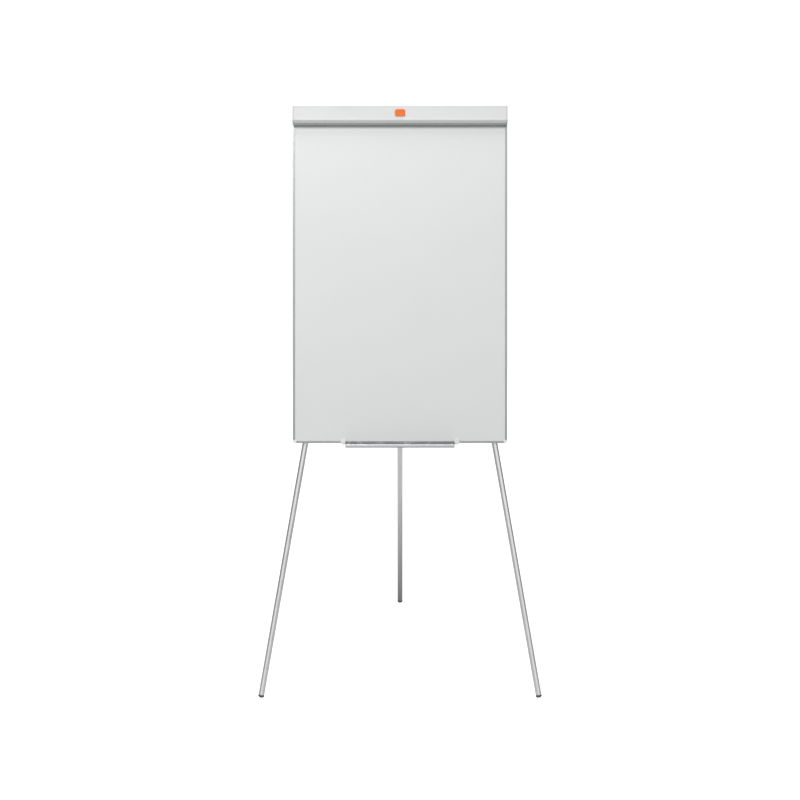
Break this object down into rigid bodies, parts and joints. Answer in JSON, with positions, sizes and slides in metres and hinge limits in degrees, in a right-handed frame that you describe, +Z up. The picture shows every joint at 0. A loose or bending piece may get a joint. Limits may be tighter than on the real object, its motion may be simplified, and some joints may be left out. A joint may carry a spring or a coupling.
{
  "type": "flipchart easel",
  "caption": "Tripod flipchart easel: steel-faced writing board, sprung pad clamp with sliding hooks, pen tray and three telescopic folding legs.",
  "frame": {"origin": "on the floor, under the middle of the whole easel's bounding box", "axes": "+Z up; +X to the right of a person facing the board; the board faces -Y"},
  "size_m": [0.918, 0.9194, 1.8705],
  "materials": {
    "white_enamel": "gloss",
    "core_board": "matte",
    "galvanised_back": "satin",
    "trim_aluminium": "satin",
    "light_plastic": "satin",
    "zinc_steel": "satin",
    "bracket_paint": "satin",
    "tray_aluminium": "satin",
    "leg_aluminium": "satin",
    "black_plastic": "matte",
    "clamp_paint": "satin",
    "clamp_plastic": "satin",
    "grip_rubber": "matte",
    "orange_plastic": "gloss",
    "bush_plastic": "satin",
    "foot_rubber": "matte"
  },
  "bodies": {
    "board": {"steel_face_sheet": "white_enamel", "core_board": "core_board", "backing_sheet": "galvanised_back", "side_trim_left": "trim_aluminium", "side_trim_right": "trim_aluminium", "corner_cap_left": "light_plastic", "corner_cap_right": "light_plastic", "bottom_trim": "trim_aluminium", "top_rail": "trim_aluminium", "hook_track": "zinc_steel", "clamp_bracket_left": "zinc_steel", "clamp_bracket_right": "zinc_steel", "clamp_hinge_pin_left": "zinc_steel", "clamp_hinge_pin_right": "zinc_steel", "clamp_spring_left": "zinc_steel", "clamp_spring_right": "zinc_steel", "pen_tray": "tray_aluminium", "tray_clip_left": "light_plastic", "tray_clip_right": "light_plastic", "leg_yoke": "bracket_paint", "left_pivot_stud": "zinc_steel", "right_pivot_stud": "zinc_steel", "left_pivot_nut": "zinc_steel", "right_pivot_nut": "zinc_steel", "rear_hinge_bracket": "bracket_paint", "rear_pivot_bolt": "zinc_steel", "rear_pivot_nut": "zinc_steel", "leg_keeper_left": "black_plastic", "leg_keeper_right": "black_plastic"},
    "clamp": {"clamp_bar": "clamp_paint", "clamp_end_cap_left": "clamp_plastic", "clamp_end_cap_right": "clamp_plastic", "clamp_grip_strip": "grip_rubber", "clamp_badge": "orange_plastic"},
    "hook_left": {"pad_hook_left": "black_plastic"},
    "hook_right": {"pad_hook_right": "black_plastic"},
    "left_upper_leg": {"left_knuckle": "black_plastic", "left_upper_tube": "leg_aluminium", "left_lock_collar": "black_plastic"},
    "left_lower_leg": {"left_lower_tube": "leg_aluminium", "left_guide_bush": "bush_plastic", "left_foot": "foot_rubber"},
    "left_lock": {"left_lock_knob": "black_plastic", "left_lock_screw": "zinc_steel"},
    "right_upper_leg": {"right_knuckle": "black_plastic", "right_upper_tube": "leg_aluminium", "right_lock_collar": "black_plastic"},
    "right_lower_leg": {"right_lower_tube": "leg_aluminium", "right_guide_bush": "bush_plastic", "right_foot": "foot_rubber"},
    "right_lock": {"right_lock_knob": "black_plastic", "right_lock_screw": "zinc_steel"},
    "rear_upper_leg": {"rear_knuckle": "black_plastic", "rear_upper_tube": "leg_aluminium", "rear_lock_collar": "black_plastic"},
    "rear_lower_leg": {"rear_lower_tube": "leg_aluminium", "rear_guide_bush": "bush_plastic", "rear_foot": "foot_rubber"},
    "rear_lock": {"rear_lock_knob": "black_plastic", "rear_lock_screw": "zinc_steel"}
  },
  "joints": [
    {"name": "left_leg_fold", "type": "hinge", "parent": "board", "child": "left_upper_leg", "pos_m": [-0.1289, -0.03884, 1.78587], "axis": [0, -0.9744, 0.225], "range_deg": [0, 9.94]},
    {"name": "left_leg_telescope", "type": "slide", "parent": "left_upper_leg", "child": "left_lower_leg", "axis": [0.1726, 0.2216, 0.9597], "range_m": [0, 0.76]},
    {"name": "left_lock_turn", "type": "hinge", "parent": "left_upper_leg", "child": "left_lock", "pos_m": [-0.29202, -0.24823, 0.87891], "axis": [0, 0.9744, -0.225], "range_deg": [0, 360]},
    {"name": "right_leg_fold", "type": "hinge", "parent": "board", "child": "right_upper_leg", "pos_m": [0.1289, -0.03884, 1.78587], "axis": [0, 0.9744, -0.225], "range_deg": [0, 9.94]},
    {"name": "right_leg_telescope", "type": "slide", "parent": "right_upper_leg", "child": "right_lower_leg", "axis": [-0.1726, 0.2216, 0.9597], "range_m": [0, 0.76]},
    {"name": "right_lock_turn", "type": "hinge", "parent": "right_upper_leg", "child": "right_lock", "pos_m": [0.29202, -0.24823, 0.87891], "axis": [0, 0.9744, -0.225], "range_deg": [0, 360]},
    {"name": "rear_leg_fold", "type": "hinge", "parent": "board", "child": "rear_upper_leg", "pos_m": [0, -0.00227, 1.77537], "axis": [-1, 0, 0], "range_deg": [0, 27.33]},
    {"name": "rear_leg_telescope", "type": "slide", "parent": "rear_upper_leg", "child": "rear_lower_leg", "axis": [0, -0.2475, 0.9689], "range_m": [0, 0.76]},
    {"name": "rear_lock_turn", "type": "hinge", "parent": "rear_upper_leg", "child": "rear_lock", "pos_m": [0, 0.23163, 0.85977], "axis": [0, 0.9689, 0.2475], "range_deg": [0, 360]},
    {"name": "clamp_lift", "type": "hinge", "parent": "board", "child": "clamp", "pos_m": [0, -0.0488, 1.85385], "axis": [-1, 0, 0], "range_deg": [0, 80], "stiffness_Nm_per_rad": 0.35, "springref_deg": -34.38, "deforming": ["clamp_spring_left", "clamp_spring_right"]},
    {"name": "hook_left_slide", "type": "slide", "parent": "board", "child": "hook_left", "axis": [1, 0, 0], "range_m": [-0.13, 0.135]},
    {"name": "hook_right_slide", "type": "slide", "parent": "board", "child": "hook_right", "axis": [1, 0, 0], "range_m": [-0.135, 0.13]}
  ]
}
